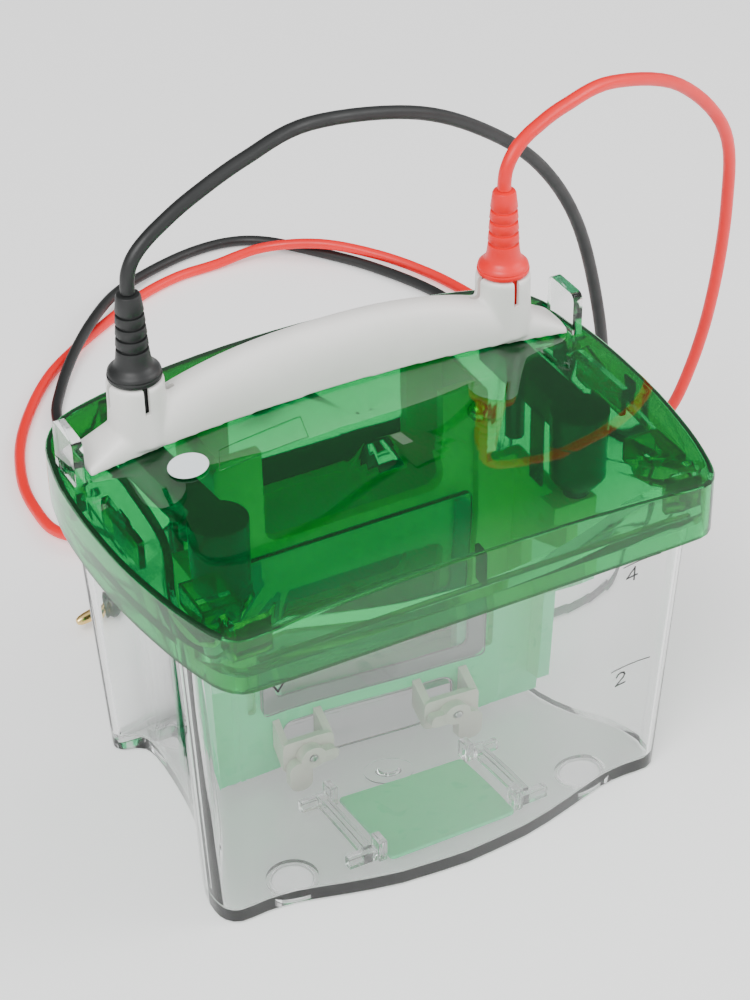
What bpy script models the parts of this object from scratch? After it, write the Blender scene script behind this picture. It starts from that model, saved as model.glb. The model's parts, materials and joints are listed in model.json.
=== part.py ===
"""Mini vertical gel electrophoresis tank: clear tank, green lid with two leads, lift-out electrode core.

Frame: origin on the table under the middle of the lid, X along the long side, Y to the back, Z up.
Lengths in this script are millimetres; add_part() writes metres.
"""

import math

import bmesh
import bpy
from mathutils import Vector

MM = 0.001
GAP = 0.3  # clearance between touching pieces

# Tank
TANK_BASE = 0.5
FLOOR_TOP = 4.5
TANK_WALL = 2.4
DRAFT_X = 0.00058  # widening of the tank per millimetre of height, as a share of its half length
DRAFT_Y = 0.0009
FLANGE_BOTTOM = 109.5
TANK_RIM = 113.0
TAB_OUTER_X = 86.8
TAB_THICK = 3.4
TAB_BACK_Y = 38.2
TAB_WIDTH = 15.6
TAB_TOP = 138.6
FOOT_X = 51.4
FOOT_Y = 38.5
FOOT_RADIUS = 7.3
FOOT_HEIGHT = 1.7
POCKET_RADIUS = 8.6

# Right half of the tank's foot outline, from the middle of the front to the middle of the back
TANK_HALF = (
    (0.0, -58.5), (22.0, -56.8), (40.0, -52.6), (54.0, -48.7), (64.0, -47.8), (72.4, -48.0),
    (76.6, -45.0), (78.0, -40.0), (77.4, -32.0), (74.0, -21.0), (69.6, -10.5), (66.6, 0.0),
    (65.2, 12.0), (64.7, 24.0), (64.9, 33.5), (66.4, 38.6), (69.6, 41.0), (72.8, 42.0),
    (74.6, 44.0), (74.6, 47.0), (72.6, 49.6), (68.5, 50.6), (58.0, 51.6), (40.0, 53.6),
    (20.0, 55.8), (0.0, 56.6),
)

# Lid
LID_HALF_X = 91.5
LID_HALF_Y = 67.5
LID_WALL = 2.2
LID_BOTTOM = 105.5
LID_END_TOP = 123.3
LID_ARCH = 4.4  # rise of the top along its front edge
LID_DOME = 3.3  # further rise across its middle
# Ribs under the top that stand on the tank's flange: name, X from and to, Y from and to
LID_RIBS = (
    ("front", (64.0, 76.0), -61.0, -59.0),
    ("front_return", (74.0, 76.0), -60.0, -53.5),
    ("end", (80.0, 82.0), -12.0, 14.0),
    ("back", (52.0, 64.0), 57.4, 59.4),
)

# Right half of the lid's outline, from the middle of the front to the middle of the back
LID_HALF = (
    (0.0, -LID_HALF_Y), (28.0, -LID_HALF_Y), (52.0, -LID_HALF_Y), (69.0, -LID_HALF_Y),
    (76.0, -66.6), (80.4, -62.2),
    (82.9, -56.0), (85.9, -45.0), (88.2, -33.0), (90.3, -18.0), (91.3, -2.0), (LID_HALF_X, 12.0),
    (90.9, 26.0), (89.2, 37.0), (87.2, 46.0), (83.2, 53.4), (77.0, 58.6), (68.0, 61.4), (56.0, 63.6),
    (38.0, 65.7), (18.0, 67.1), (0.0, LID_HALF_Y),
)

# Handle bar and its two lead sockets
HANDLE_Y = 31.0
HANDLE_HALF_WIDTH = 8.2
HANDLE_HALF_X = 81.8
HANDLE_CROWN = 150.4
HANDLE_DROP = 24.6
HANDLE_POWER = 2.4
SOCKET_X = 62.4
SOCKET_TOP = 149.4
SOCKET_RADIUS = 8.7
SOCKET_BORE = 7.1
SOCKET_FLOOR = 130.0
SLOT_WIDTH = 2.2
SLOT_DEPTH = 8.5

# Contact housings under the lid
HOUSING_LEFT = (-57.5, -13.0)
HOUSING_RIGHT = (62.6, -15.5)
CUP_RADIUS = 9.2
CUP_WALL = 1.6
CUP_TOP = 123.4
CUP_BOTTOM = 97.0
BOSS_RADIUS = 3.2

# Electrode core: a box frame with a window in its front and its back
FRAME_FRONT_Y = 13.0
FRAME_BACK_Y = 41.0
FRAME_THICK = 4.0
POST_INNER_X = 31.0
POST_OUTER_X = 47.0
SIDE_PANEL_X = 61.0
FRAME_TOP = 122.0
FRAME_FOOT = 9.5
SIDE_PANEL_TOP = 92.0
BEAM_BOTTOM = 67.0
BEAM_TOP = 88.0
SILL_BOTTOM = 30.0
SILL_TOP = 36.0
SLOT_X = 42.4
SLOT_HALF = 1.4
PLATE_HALF_X = 49.0
SHORT_PLATE_TOP = 84.0
TALL_PLATE_TOP = 93.0
PLATE_FOOT = 12.0

# Cam levers, turned on pins that run front to back
CAM_X = 25.4
CAM_Z = 20.0
CAM_FACE_Y = -1.5
CAM_THICK = 4.5

# Floor rails
RAIL_X = 27.6
RAIL_BACK_Y = -10.0
RAIL_FRONT_Y = -44.0
FLOOR_PLATE = (-22.0, 22.0, -48.5, -11.5)
GATE_Y = -3.4

# Leads
CORD_RADIUS = 2.2
LEAD_EXIT = 178.3
CORD_POINTS = 78

BLACK_ROUTE = (
    (-62.4, 31.0, 181.0), (-61.8, 31.2, 184.6), (-59.8, 31.6, 188.4), (-56.2, 32.5, 191.6),
    (-50.0, 34.1, 195.0), (-38.5, 36.8, 199.8), (-19.0, 41.3, 205.2), (5.0, 47.0, 207.9),
    (43.2, 56.0, 198.0), (72.7, 63.0, 181.7), (99.9, 71.0, 157.7),
    (121.5, 80.0, 124.0), (138.0, 90.0, 76.0), (143.5, 96.0, 44.0), (141.0, 97.5, 20.0),
    (130.0, 91.0, 5.5), (112.0, 82.0, 2.5), (88.0, 77.0, 2.5), (62.0, 77.0, 2.5), (36.0, 82.0, 2.5),
    (14.0, 93.0, 2.5), (-4.0, 110.0, 2.5), (-18.0, 134.0, 2.5), (-25.0, 164.0, 2.5),
    (-25.0, 196.0, 2.5), (-19.0, 232.0, 2.5), (-10.0, 251.0, 3.0), (3.4, 269.2, 6.0),
    (19.5, 286.4, 8.4), (37.0, 304.4, 6.2), (58.5, 319.0, 3.0), (80.7, 326.0, 2.5),
    (99.0, 326.0, 2.5), (113.0, 319.0, 2.5), (127.0, 302.0, 2.5), (144.0, 276.0, 2.5),
    (157.5, 242.0, 2.5), (159.0, 206.0, 2.5), (148.0, 172.0, 2.5), (122.0, 150.0, 2.5),
    (92.0, 139.5, 2.5), (62.0, 133.0, 2.5), (34.0, 127.0, 2.6), (12.0, 122.0, 5.6),
    (-7.0, 117.5, 7.8), (-20.0, 115.0, 7.4),
)
RED_ROUTE = (
    (62.4, 31.0, 181.0), (63.1, 31.2, 184.6), (65.3, 31.8, 188.4), (69.2, 33.0, 191.6),
    (75.8, 35.0, 194.2), (88.0, 38.9, 196.5), (109.0, 45.0, 196.8), (141.5, 55.0, 183.7),
    (167.4, 64.0, 156.5),
    (177.0, 73.0, 121.2),
    (179.6, 81.0, 80.8), (178.0, 88.5, 47.7), (173.5, 96.5, 22.0), (166.5, 110.0, 6.5),
    (164.0, 128.0, 2.5), (169.5, 152.0, 2.5), (173.0, 182.0, 2.5), (172.5, 212.0, 2.5),
    (168.2, 239.0, 2.5), (161.0, 260.0, 3.4), (147.2, 279.2, 6.2), (128.4, 296.4, 8.2),
    (107.6, 309.6, 5.4), (85.4, 311.0, 2.7), (67.8, 310.0, 2.5), (48.6, 303.5, 2.5),
    (27.0, 290.8, 2.5), (8.0, 278.2, 2.5), (-10.1, 263.4, 2.5), (-26.2, 243.2, 2.5),
    (-38.5, 222.0, 2.5), (-46.4, 199.0, 2.5), (-48.6, 179.8, 2.5), (-47.5, 162.0, 4.0),
    (-38.0, 147.5, 7.2), (-21.0, 141.0, 7.8), (-1.0, 142.0, 5.2), (20.0, 147.0, 3.0), (40.0, 152.5, 2.5),
    (62.0, 156.0, 2.5), (86.0, 159.5, 2.5), (109.0, 165.5, 2.5), (128.0, 176.0, 2.5), (135.5, 191.0, 2.5),
    (129.0, 205.0, 2.5), (112.0, 211.5, 2.5), (92.0, 210.0, 2.5), (75.0, 204.5, 4.9),
)

COLOURS = {
    "clear_plastic": ((0.90, 0.93, 0.92), 0.08, 0.0, 0.25),
    "green_plastic": ((0.02, 0.42, 0.16), 0.10, 0.0, 0.60),
    "dark_green_plastic": ((0.01, 0.16, 0.08), 0.20, 0.0, 0.85),
    "core_green": ((0.03, 0.50, 0.20), 0.25, 0.0, 0.80),
    "white_plastic": ((0.86, 0.85, 0.82), 0.40, 0.0, 1.0),
    "cream_plastic": ((0.78, 0.76, 0.67), 0.45, 0.0, 1.0),
    "grey_silicone": ((0.35, 0.40, 0.37), 0.70, 0.0, 1.0),
    "black_rubber": ((0.05, 0.05, 0.06), 0.55, 0.0, 1.0),
    "red_rubber": ((0.75, 0.04, 0.06), 0.45, 0.0, 1.0),
    "brass": ((0.80, 0.58, 0.25), 0.30, 1.0, 1.0),
    "platinum": ((0.75, 0.74, 0.72), 0.25, 1.0, 1.0),
    "steel": ((0.60, 0.60, 0.60), 0.30, 1.0, 1.0),
    "glass": ((0.80, 0.90, 0.86), 0.03, 0.0, 0.30),
    "label_white": ((0.85, 0.88, 0.90), 0.50, 0.0, 1.0),
}


# ---------------------------------------------------------------- building blocks


def clear_scene():
    for obj in list(bpy.data.objects):
        bpy.data.objects.remove(obj, do_unlink=True)


def material(slot):
    """The slot's Principled material, made once."""
    found = bpy.data.materials.get(slot)
    if found:
        return found
    colour, roughness, metallic, alpha = COLOURS[slot]
    made = bpy.data.materials.new(slot)
    made.use_nodes = True
    shader = made.node_tree.nodes["Principled BSDF"]
    shader.inputs["Base Color"].default_value = (*colour, 1.0)
    shader.inputs["Roughness"].default_value = roughness
    shader.inputs["Metallic"].default_value = metallic
    shader.inputs["Alpha"].default_value = alpha
    return made


def add_part(name, shape, slot, origin=(0.0, 0.0, 0.0), round_angle=30.0):
    """A named object from (points, faces) in millimetres, with its own origin and its faces out."""
    points, faces = shape
    mesh = bpy.data.meshes.new(name)
    mesh.from_pydata([(Vector(p) - Vector(origin)) * MM for p in points], [], faces)
    work = bmesh.new()
    work.from_mesh(mesh)
    bmesh.ops.remove_doubles(work, verts=work.verts, dist=1e-7)
    bmesh.ops.recalc_face_normals(work, faces=work.faces)
    if work.calc_volume(signed=True) < 0:
        bmesh.ops.reverse_faces(work, faces=work.faces)
    work.to_mesh(mesh)
    work.free()
    mesh.shade_smooth()
    mesh.set_sharp_from_angle(angle=math.radians(round_angle))
    mesh.materials.append(material(slot))
    obj = bpy.data.objects.new(name, mesh)
    obj.location = Vector(origin) * MM
    bpy.context.scene.collection.objects.link(obj)
    return obj


def helper(name, shape):
    """A cutter or an addition for a Boolean, which isn't a part itself."""
    obj = add_part(name, shape, "steel")
    obj.hide_render = True
    obj.display_type = "WIRE"
    return obj


def combine(target, operation, name, shape):
    """Joins the shape to the target, or cuts it out, with an exact Boolean."""
    modifier = target.modifiers.new(name, "BOOLEAN")
    modifier.operation = operation
    modifier.solver = "EXACT"
    modifier.object = helper(f"{target.name}_{name}", shape)


def loft(rings):
    """A closed solid through rings of equal length, with flat caps at both ends."""
    count = len(rings[0])
    points = [p for ring in rings for p in ring]
    faces = [tuple(range(count)), tuple(reversed(range(len(points) - count, len(points))))]
    for level in range(len(rings) - 1):
        for i in range(count):
            j = (i + 1) % count
            low, high = level * count, (level + 1) * count
            faces.append((low + i, high + i, high + j, low + j))
    return points, faces


def block(x0, x1, y0, y1, z0, z1):
    ring = ((x0, y0), (x1, y0), (x1, y1), (x0, y1))
    return loft([[(x, y, z) for x, y in ring] for z in (z0, z1)])


def upright(outline, z0, z1):
    """A plan outline extruded along Z."""
    return loft([[(x, y, z) for x, y in outline] for z in (z0, z1)])


def facing(outline, y0, y1):
    """An XZ outline extruded along Y."""
    return loft([[(x, y, z) for x, z in outline] for y in (y0, y1)])


def sideways(outline, x0, x1):
    """A YZ outline extruded along X."""
    return loft([[(x, y, z) for y, z in outline] for x in (x0, x1)])


def rounded_rectangle(u0, u1, v0, v1, radius, steps=5):
    corners = ((u1 - radius, v0 + radius, -90), (u1 - radius, v1 - radius, 0),
               (u0 + radius, v1 - radius, 90), (u0 + radius, v0 + radius, 180))
    outline = []
    for u, v, start in corners:
        for i in range(steps + 1):
            angle = math.radians(start + 90 * i / steps)
            outline.append((u + radius * math.cos(angle), v + radius * math.sin(angle)))
    return outline


def turned(profile, x, y, steps=24):
    """A solid of revolution: profile is a closed loop of (radius, height) about the Z line at x, y."""
    points = []
    faces = []
    for i in range(steps):
        angle = 2 * math.pi * i / steps
        for radius, height in profile:
            points.append((x + radius * math.cos(angle), y + radius * math.sin(angle), height))
    count = len(profile)
    for i in range(steps):
        j = (i + 1) % steps
        for k in range(count):
            m = (k + 1) % count
            corners = [i * count + k, j * count + k, j * count + m, i * count + m]
            if profile[k][0] == 0.0 and profile[m][0] == 0.0:
                continue
            if profile[k][0] == 0.0:
                corners.pop(1)
            elif profile[m][0] == 0.0:
                corners.pop(2)
            faces.append(tuple(corners))
    return points, faces


def laid_along(shape, start, direction):
    """Turns a Z shape so that it runs from start along direction."""
    points, faces = shape
    turn = Vector((0, 0, 1)).rotation_difference(Vector(direction))
    return [tuple(turn @ Vector(p) + Vector(start)) for p in points], faces


def rod(radius, start, end, steps=12):
    """A plain round bar between two points."""
    length = (Vector(end) - Vector(start)).length
    shape = turned(((0.0, 0.0), (radius, 0.0), (radius, length), (0.0, length)), 0, 0, steps)
    return laid_along(shape, start, Vector(end) - Vector(start))


# ---------------------------------------------------------------- outlines and curves


def smooth_open(points, per_span):
    """Points on a Catmull-Rom curve through the given points, ends included."""
    padded = [points[0], *points, points[-1]]
    curve = []
    for i in range(1, len(padded) - 2):
        a, b, c, d = (Vector(p) for p in padded[i - 1:i + 3])
        for k in range(per_span):
            t = k / per_span
            curve.append(0.5 * (2 * b + (c - a) * t + (2 * a - 5 * b + 4 * c - d) * t**2
                                + (3 * b - a - 3 * c + d) * t**3))
    return [*curve, Vector(points[-1])]


def mirrored(half):
    """A closed outline from its right half, which starts and ends on the middle plane."""
    return [*half, *[(-x, y) for x, y in reversed(half[1:-1])]]


def tank_outline(height, inset=0.0):
    """The tank's outer outline at a height, or that outline moved in by the wall."""
    half = [(p.x, p.y) for p in smooth_open([(x, y, 0) for x, y in TANK_HALF], 2)]
    outline = mirrored(half)
    widened = [(x * (1 + DRAFT_X * height), y * (1 + DRAFT_Y * height)) for x, y in outline]
    return moved_in(widened, inset)


def moved_in(outline, inset):
    """An outline with each point moved in, square to its neighbours."""
    count = len(outline)
    result = []
    for i, (x, y) in enumerate(outline):
        ax, ay = outline[i - 1]
        bx, by = outline[(i + 1) % count]
        length = math.hypot(bx - ax, by - ay)
        result.append((x - inset * (by - ay) / length, y + inset * (bx - ax) / length))
    return result


def lid_outline(inset=0.0):
    """The lid in plan, or that outline moved in."""
    half = [(p.x, p.y) for p in smooth_open([(x, y, 0) for x, y in LID_HALF], 2)]
    return moved_in(mirrored(half), inset)


def lid_height(x, y):
    """The lid's top surface: arched along X, and a little higher across its middle."""
    along = 1 - (x / LID_HALF_X) ** 2
    across = 1 - (y / LID_HALF_Y) ** 2
    return LID_END_TOP + LID_ARCH * along + LID_DOME * along * across


def stepped(points, count):
    """The given number of points along a smooth curve through the route, closer together at its start."""
    fine = smooth_open(points, 16)
    along = [0.0]
    for a, b in zip(fine, fine[1:]):
        along.append(along[-1] + (b - a).length)
    result = []
    k = 0
    for i in range(count):
        target = along[-1] * (i / (count - 1)) ** 1.25
        while k < len(fine) - 2 and along[k + 1] < target:
            k += 1
        share = (target - along[k]) / (along[k + 1] - along[k])
        result.append(fine[k].lerp(fine[k + 1], share))
    return result


# ---------------------------------------------------------------- tank


def make_tank():
    """Clear box with bulged corners, a flange under the lid, two upright thumb tabs and a floor boss."""
    rings = [[(x, y, z) for x, y in tank_outline(z, inset)]
             for z, inset in ((TANK_BASE, 0.6), (TANK_BASE + 0.7, 0.0), (TANK_RIM, 0.0))]
    tank = add_part("tank", loft(rings), "clear_plastic")
    combine(tank, "UNION", "flange", upright(lid_outline(LID_WALL + 1.0), FLANGE_BOTTOM, TANK_RIM))
    cavity = [[(x, y, z) for x, y in tank_outline(z, inset)]
              for z, inset in ((FLOOR_TOP, TANK_WALL + 1.4), (FLOOR_TOP + 1.5, TANK_WALL),
                               (TANK_RIM + 5.0, TANK_WALL))]
    combine(tank, "DIFFERENCE", "cavity", loft(cavity))
    boss = ((0.0, FLOOR_TOP - 1.0), (8.0, FLOOR_TOP - 1.0), (8.0, FLOOR_TOP + 0.5), (4.2, FLOOR_TOP + 0.5),
            (3.2, FLOOR_TOP + 2.0), (0.0, FLOOR_TOP + 2.0))
    combine(tank, "UNION", "floor_boss", turned(boss, 0.0, GATE_Y, 28))
    for side in (-1, 1):
        tab = rounded_rectangle(TAB_BACK_Y - TAB_WIDTH, TAB_BACK_Y, FLANGE_BOTTOM + 1.0, TAB_TOP, 2.4, 3)
        inner, outer = sorted((side * (TAB_OUTER_X - TAB_THICK), side * TAB_OUTER_X))
        combine(tank, "UNION", f"tab_{'left' if side < 0 else 'right'}", sideways(tab, inner, outer))
        for y in (-FOOT_Y, FOOT_Y):
            ceiling = FOOT_HEIGHT + GAP
            pocket = ((0.0, -5.0), (POCKET_RADIUS, -5.0), (POCKET_RADIUS, ceiling), (0.0, ceiling))
            combine(tank, "DIFFERENCE", f"pocket_{side}_{y:.0f}", turned(pocket, side * FOOT_X, y, 28))
    return tank


def make_feet():
    """Four round soft pads in pockets under the floor."""
    profile = ((0.0, 0.0), (FOOT_RADIUS - 0.5, 0.0), (FOOT_RADIUS, 0.4), (FOOT_RADIUS, FOOT_HEIGHT),
               (0.0, FOOT_HEIGHT))
    for depth, y in (("front", -FOOT_Y), ("back", FOOT_Y)):
        for side, x in (("left", -FOOT_X), ("right", FOOT_X)):
            add_part(f"foot_pad_{depth}_{side}", turned(profile, x, y, 28), "clear_plastic",
                     (x, y, 0.0))


def make_rails():
    """Two clear floor rails with a lug at each end, and the thin plate between them."""
    base = FLOOR_TOP + GAP
    for side, name in ((-1, "left"), (1, "right")):
        x = side * RAIL_X
        low, high = sorted((x - side * 1.4, x + side * 1.6))
        rail = add_part(f"floor_rail_{name}", block(low, high, RAIL_FRONT_Y, RAIL_BACK_Y, base, base + 5.5),
                        "clear_plastic", (x, 0.0, base))
        for end, y in (("back", RAIL_BACK_Y), ("front", RAIL_FRONT_Y)):
            reach = sorted((x - side * 5.0, x + side * 7.5))
            lug = block(reach[0], reach[1], y - 2.2, y + 1.2, base, base + 4.2)
            combine(rail, "UNION", f"{end}_cross", lug)
            stop = sorted((x - side * 5.0, x - side * 2.2))
            post = block(stop[0], stop[1], y - 3.4, y + 2.6, base, base + 8.0)
            combine(rail, "UNION", f"{end}_stop", post)
    plate = rounded_rectangle(*FLOOR_PLATE, 1.5, 3)
    add_part("floor_plate", upright(plate, base, base + 1.5), "core_green")


# ---------------------------------------------------------------- lid


def surface_rings(outline, drop, scales):
    """Rings that step in from the outline over the lid's surface, lowered by drop."""
    return [[(x * s, y * s, lid_height(x * s, y * s) - drop) for x, y in outline] for s in scales]


def make_lid():
    """Green shell: arched top with a soft shoulder and an upright skirt all round."""
    outer = lid_outline()
    shoulder = lid_outline(0.4)
    inner = lid_outline(LID_WALL)
    rings = [[(x, y, LID_BOTTOM) for x, y in inner]]
    rings = surface_rings(inner, LID_WALL, (0.12, 0.45, 0.75, 1.0)) + rings
    rings += [[(x, y, LID_BOTTOM) for x, y in outer]]
    rings += surface_rings(outer, 1.0, (1.0,))
    rings += surface_rings(shoulder, 0.3, (1.0,))
    rings += surface_rings(lid_outline(1.3), 0.0, (1.0, 0.75, 0.45, 0.12))
    lid = add_part("lid", loft(rings), "green_plastic", (0.0, 0.0, LID_BOTTOM))
    for side in (-1, 1):
        name = "left" if side < 0 else "right"
        inner_x, outer_x = sorted((side * (TAB_OUTER_X - TAB_THICK - 0.5), side * (TAB_OUTER_X + 0.5)))
        slot = block(inner_x, outer_x, TAB_BACK_Y - TAB_WIDTH - 0.5, TAB_BACK_Y + 0.5, 100.0, 135.0)
        combine(lid, "DIFFERENCE", f"tab_slot_{name}", slot)
        hole = turned(((0.0, 110.0), (4.4, 110.0), (4.4, 140.0), (0.0, 140.0)),
                      side * SOCKET_X, HANDLE_Y, 20)
        combine(lid, "DIFFERENCE", f"jack_hole_{name}", hole)
        for rib, span, y0, y1 in LID_RIBS:
            low_x, high_x = sorted((side * span[0], side * span[1]))
            top = lid_height(span[1], max(abs(y0), abs(y1))) - 0.7
            combine(lid, "UNION", f"rib_{rib}_{name}", block(low_x, high_x, y0, y1, TANK_RIM + GAP, top))
    return lid


def handle_ridge(x):
    return HANDLE_CROWN - HANDLE_DROP * abs(x / (HANDLE_HALF_X + 3.0)) ** HANDLE_POWER


def handle_section(x):
    """The bar's section at x: it sits on the lid's surface and rises to a rounded ridge."""
    steps = 12
    section = []
    for i in range(steps + 1):
        angle = math.pi * i / steps
        y = HANDLE_Y - HANDLE_HALF_WIDTH * math.copysign(abs(math.cos(angle)) ** 0.8, math.cos(angle))
        seat = lid_height(x, y) + GAP
        rise = max(handle_ridge(x) - lid_height(x, HANDLE_Y) - GAP, 1.2) - 0.9
        section.append((x, y, seat + 0.9 + rise * math.sin(angle) ** 0.8))
    for y in (HANDLE_Y + HANDLE_HALF_WIDTH, HANDLE_Y, HANDLE_Y - HANDLE_HALF_WIDTH):
        section.append((x, y, lid_height(x, y) + GAP))
    return section


def make_handle():
    """White arched bar with a slotted round socket near each end."""
    stations = 22
    rings = [handle_section(HANDLE_HALF_X * math.sin(math.pi * (i / stations - 0.5)))
             for i in range(stations + 1)]
    handle = add_part("handle", loft(rings), "white_plastic", (0.0, HANDLE_Y, LID_END_TOP))
    for side in (-1, 1):
        x, name = side * SOCKET_X, "left" if side < 0 else "right"
        seat = lid_height(SOCKET_X, HANDLE_Y) + 2.0
        collar = ((0.0, seat), (SOCKET_RADIUS + 0.6, seat), (SOCKET_RADIUS, seat + 9.0),
                  (SOCKET_RADIUS, SOCKET_TOP - 0.4), (SOCKET_RADIUS - 0.4, SOCKET_TOP), (0.0, SOCKET_TOP))
        combine(handle, "UNION", f"collar_{name}", turned(collar, x, HANDLE_Y, 36))
        bore = ((0.0, 120.0), (4.4, 120.0), (4.4, SOCKET_FLOOR), (SOCKET_BORE, SOCKET_FLOOR),
                (SOCKET_BORE, 160.0), (0.0, 160.0))
        combine(handle, "DIFFERENCE", f"bore_{name}", turned(bore, x, HANDLE_Y, 36))
        half, low, reach = SLOT_WIDTH / 2, SOCKET_TOP - SLOT_DEPTH, SOCKET_RADIUS + 3.0
        along = block(x - reach, x + reach, HANDLE_Y - half, HANDLE_Y + half, low, 160.0)
        combine(handle, "DIFFERENCE", f"slot_x_{name}", along)
        across = block(x - half, x + half, HANDLE_Y - reach, HANDLE_Y + reach, low, 160.0)
        combine(handle, "DIFFERENCE", f"slot_y_{name}", across)
    return handle


def make_contacts():
    """Under the lid, on each side: a dark cup, the duct to it, a jack, a strap and a spring sleeve."""
    for name, side, (x, y) in (("left", -1, HOUSING_LEFT), ("right", 1, HOUSING_RIGHT)):
        ceiling = lid_height(abs(x) + CUP_RADIUS, y) - LID_WALL - GAP
        cup_top = min(CUP_TOP, ceiling)
        cup = ((0.0, cup_top), (CUP_RADIUS, cup_top), (CUP_RADIUS - 0.4, CUP_BOTTOM + 3.0),
               (CUP_RADIUS - 2.2, CUP_BOTTOM), (0.0, CUP_BOTTOM))
        housing = add_part(f"contact_housing_{name}", turned(tuple(reversed(cup)), x, y, 28),
                           "dark_green_plastic", (x, y, cup_top))
        jack_x = side * SOCKET_X
        duct_top = lid_height(SOCKET_X + 8.0, HANDLE_Y) - LID_WALL - GAP
        duct_floor = duct_top - 9.6
        half = 5.2
        duct = ((x - half, y), (x + half, y),
                (jack_x + half, HANDLE_Y + 5.5), (jack_x - half, HANDLE_Y + 5.5))
        combine(housing, "UNION", "duct", upright(duct, duct_floor, duct_top))
        boss_y = HANDLE_Y - 17.0
        boss_x = x + (jack_x - x) * (boss_y - y) / (HANDLE_Y - y) - side * 5.0
        boss = ((0.0, 99.0), (BOSS_RADIUS, 99.0), (BOSS_RADIUS, duct_top), (0.0, duct_top))
        combine(housing, "UNION", "boss", turned(boss, boss_x, boss_y, 16))
        boss_bore = ((0.0, 103.0), (BOSS_RADIUS - 1.2, 103.0), (BOSS_RADIUS - 1.2, 140.0), (0.0, 140.0))
        combine(housing, "DIFFERENCE", "boss_bore", turned(boss_bore, boss_x, boss_y, 16))
        bore_radius = CUP_RADIUS - CUP_WALL - 1.8
        cup_bore = ((0.0, CUP_BOTTOM - 3.0), (bore_radius, CUP_BOTTOM - 3.0), (bore_radius, cup_top - 4.5),
                    (0.0, cup_top - 4.5))
        combine(housing, "DIFFERENCE", "cup_bore", turned(cup_bore, x, y, 28))
        channel = ((x - 2.0, y), (x + 2.0, y), (jack_x + 2.0, HANDLE_Y + 2.0), (jack_x - 2.0, HANDLE_Y + 2.0))
        combine(housing, "DIFFERENCE", "channel", upright(channel, duct_top - 7.0, duct_top - 4.5))
        shaft = ((0.0, duct_top - 7.0), (4.0, duct_top - 7.0), (4.0, 140.0), (0.0, 140.0))
        combine(housing, "DIFFERENCE", "jack_well", turned(shaft, jack_x, HANDLE_Y, 20))
        sleeve_floor = CUP_BOTTOM + 0.8
        sleeve = ((3.0, sleeve_floor), (bore_radius - GAP, sleeve_floor), (bore_radius - GAP, cup_top - 8.0),
                  (3.0, cup_top - 8.0))
        add_part(f"contact_sleeve_{name}", turned(sleeve, x, y, 20), "brass", (x, y, cup_top))
        strap_top = duct_top - 4.5 - GAP
        strap = ((x - 1.2, y + 0.5), (x + 1.2, y + 0.5), (jack_x + 1.2, HANDLE_Y - 0.5),
                 (jack_x - 1.2, HANDLE_Y - 0.5))
        add_part(f"bus_strap_{name}", upright(strap, strap_top - 1.6, strap_top), "steel")
        jack = ((0.0, duct_top - 4.0), (3.4, duct_top - 4.0), (3.4, SOCKET_FLOOR - 0.2),
                (3.6, SOCKET_FLOOR - 0.2), (3.6, 139.0), (2.4, 139.0), (2.4, SOCKET_FLOOR + 0.4),
                (0.0, SOCKET_FLOOR + 0.4))
        add_part(f"lead_jack_{name}", turned(jack, jack_x, HANDLE_Y, 20), "brass",
                 (jack_x, HANDLE_Y, 139.0))


def make_label():
    """The blank round label on the lid."""
    x, y, radius = -56.2, 9.8, 6.2
    angles = [2 * math.pi * i / 28 for i in range(28)]
    ring = [(x + radius * math.cos(angle), y + radius * math.sin(angle)) for angle in angles]
    rings = [[(u, v, lid_height(u, v) + lift) for u, v in ring] for lift in (0.3, 0.9)]
    add_part("label_disc", loft(rings), "label_white", (x, y, lid_height(x, y)))


# ---------------------------------------------------------------- leads


def make_lead(name, x, slot, route):
    """A shrouded plug in the handle, its cord, and the stackable plug on the far end."""
    flange_bottom = SOCKET_TOP + GAP
    profile = (
        (0.0, 143.0), (4.4, 143.0), (4.4, 132.0), (6.5, 132.0), (6.5, flange_bottom), (8.3, flange_bottom),
        (8.3, flange_bottom + 3.2), (7.6, flange_bottom + 4.0), (5.4, flange_bottom + 4.6),
        (4.7, flange_bottom + 6.2), (4.4, 166.0), (3.8, LEAD_EXIT - GAP), (0.0, LEAD_EXIT - GAP),
    )
    add_part(f"{name}_plug", turned(profile, x, HANDLE_Y, 28), slot, (x, HANDLE_Y, flange_bottom))
    pin = ((0.0, 131.2), (1.4, 131.2), (2.0, 132.4), (2.0, 142.7), (0.0, 142.7))
    add_part(f"{name}_plug_pin", turned(pin, x, HANDLE_Y, 16), "brass", (x, HANDLE_Y, 142.7))

    curve = bpy.data.curves.new(f"{name}_cord", "CURVE")
    curve.dimensions = "3D"
    curve.bevel_depth = CORD_RADIUS * MM
    curve.bevel_resolution = 2
    curve.use_fill_caps = True
    spline = curve.splines.new("POLY")
    points = stepped(((x, HANDLE_Y, LEAD_EXIT), *route), CORD_POINTS)
    spline.points.add(len(points) - 1)
    for target, point in zip(spline.points, points):
        target.co = (*(point * MM), 1.0)
    curve.materials.append(material(slot))
    bpy.context.scene.collection.objects.link(bpy.data.objects.new(f"{name}_cord", curve))

    end = points[-1]
    forward = (points[-1] - points[-2]).normalized()
    body = ((0.0, 0.0), (3.2, 0.0), (3.6, 12.0), (4.6, 15.0), (4.6, 28.0), (4.0, 30.0), (0.0, 30.0))
    start = end + forward * GAP
    add_part(f"{name}_end_plug", laid_along(turned(body, 0, 0, 20), start, forward), slot, tuple(start))
    tip = ((0.0, 0.0), (1.9, 0.0), (2.1, 5.0), (1.9, 11.0), (1.2, 12.5), (0.0, 12.5))
    root = end + forward * (30.0 + 2 * GAP)
    add_part(f"{name}_end_pin", laid_along(turned(tip, 0, 0, 16), root, forward), "brass", tuple(root))


# ---------------------------------------------------------------- electrode core


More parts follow.
